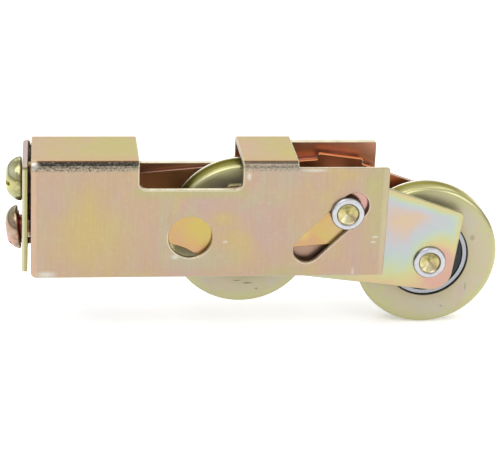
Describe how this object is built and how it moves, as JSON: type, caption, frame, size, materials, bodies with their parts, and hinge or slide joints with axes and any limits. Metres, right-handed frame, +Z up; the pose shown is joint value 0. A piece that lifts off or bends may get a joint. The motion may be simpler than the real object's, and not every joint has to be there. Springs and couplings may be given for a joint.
{
  "type": "sliding door roller",
  "caption": "Adjustable tandem roller for a sliding door: open steel channel, rocking carriage with grooved wheels on ball bearings, end screw that raises and lowers the door.",
  "frame": {"origin": "on the top face of the housing, over the mid width, 13.5 mm from its screw end, where the door's bottom rail rests", "axes": "+X along the housing from the screw end to the wheel end, +Y from the front wall to the back wall, +Z up out of the top face"},
  "size_m": [0.1305, 0.025, 0.0481],
  "materials": {
    "zinc_sheet": "yellow zinc plate, iridescent",
    "zinc_link": "yellow zinc plate, golden",
    "zinc_wheel": "yellow zinc plate, olive",
    "zinc_screw": "yellow zinc plate, satin",
    "washer_steel": "dark passivated",
    "rivet_steel": "bright, rolled ends",
    "spring_steel": "plain",
    "bearing_steel": "ground",
    "seal_rubber": "matt",
    "cage_nylon": "moulded"
  },
  "bodies": {
    "housing": {"housing_shell": "zinc_sheet", "mounting_screw": "zinc_screw"},
    "pin": {"pivot_pin": "rivet_steel"},
    "link": {"draw_link": "zinc_link"},
    "carriage": {"carriage_plate_front": "zinc_sheet", "carriage_plate_rear": "zinc_sheet", "pivot_spacer_tube": "spring_steel", "left_axle": "rivet_steel", "left_axle_spacer_front": "spring_steel", "left_axle_spacer_rear": "spring_steel", "left_bearing_inner_ring": "bearing_steel", "right_axle": "rivet_steel", "right_axle_spacer_front": "spring_steel", "right_axle_spacer_rear": "spring_steel", "right_bearing_inner_ring": "bearing_steel"},
    "left_wheel_set": {"left_wheel": "zinc_wheel", "left_bearing_outer_ring": "bearing_steel", "left_bearing_seal_front": "seal_rubber", "left_bearing_seal_rear": "seal_rubber"},
    "left_cage_set": {"left_bearing_cage": "cage_nylon", "left_bearing_ball_1": "bearing_steel", "left_bearing_ball_2": "bearing_steel", "left_bearing_ball_3": "bearing_steel", "left_bearing_ball_4": "bearing_steel", "left_bearing_ball_5": "bearing_steel", "left_bearing_ball_6": "bearing_steel", "left_bearing_ball_7": "bearing_steel"},
    "right_wheel_set": {"right_wheel": "zinc_wheel", "right_bearing_outer_ring": "bearing_steel", "right_bearing_seal_front": "seal_rubber", "right_bearing_seal_rear": "seal_rubber"},
    "right_cage_set": {"right_bearing_cage": "cage_nylon", "right_bearing_ball_1": "bearing_steel", "right_bearing_ball_2": "bearing_steel", "right_bearing_ball_3": "bearing_steel", "right_bearing_ball_4": "bearing_steel", "right_bearing_ball_5": "bearing_steel", "right_bearing_ball_6": "bearing_steel", "right_bearing_ball_7": "bearing_steel"},
    "screw_swivel": {"thrust_washer": "washer_steel"},
    "screw": {"adjusting_screw": "zinc_screw", "retaining_ring": "spring_steel"}
  },
  "joints": [
    {"name": "pin_slide", "type": "slide", "parent": "housing", "child": "pin", "axis": [0.7071, 0, 0.7071], "range_m": [-0.0142, 0.0018]},
    {"name": "link_tilt", "type": "hinge", "parent": "pin", "child": "link", "pos_m": [0.06755, 0, -0.01395], "axis": [0, -1, 0], "range_deg": [-7.07, 0.91]},
    {"name": "carriage_rock", "type": "hinge", "parent": "pin", "child": "carriage", "pos_m": [0.06755, 0, -0.01395], "axis": [0, 1, 0], "range_deg": [-16, 1]},
    {"name": "left_wheel_spin", "type": "hinge", "parent": "carriage", "child": "left_wheel_set", "pos_m": [0.04125, 0, -0.02252], "axis": [0, 1, 0], "continuous": true},
    {"name": "left_cage_spin", "type": "hinge", "parent": "carriage", "child": "left_cage_set", "pos_m": [0.04125, 0, -0.02252], "axis": [0, 1, 0], "continuous": true},
    {"name": "right_wheel_spin", "type": "hinge", "parent": "carriage", "child": "right_wheel_set", "pos_m": [0.09072, 0, -0.02907], "axis": [0, 1, 0], "continuous": true},
    {"name": "right_cage_spin", "type": "hinge", "parent": "carriage", "child": "right_cage_set", "pos_m": [0.09072, 0, -0.02907], "axis": [0, 1, 0], "continuous": true},
    {"name": "screw_tilt", "type": "hinge", "parent": "housing", "child": "screw_swivel", "pos_m": [-0.015, 0, -0.0213], "axis": [0, -1, 0], "range_deg": [-7.07, 0.91]},
    {"name": "screw_turn", "type": "hinge", "parent": "screw_swivel", "child": "screw", "pos_m": [-0.015, 0, -0.0213], "axis": [0.9961, 0, 0.0886], "range_deg": [-475, 3742]}
  ],
  "couplings": [
    {"joint": "link_tilt", "follows": "pin_slide", "rad_per_m": 8.674},
    {"joint": "screw_tilt", "follows": "pin_slide", "rad_per_m": 8.674},
    {"joint": "screw_turn", "follows": "pin_slide", "rad_per_m": -4597},
    {"joint": "left_cage_spin", "follows": "left_wheel_spin", "ratio": 0.632},
    {"joint": "right_cage_spin", "follows": "right_wheel_spin", "ratio": 0.632}
  ]
}
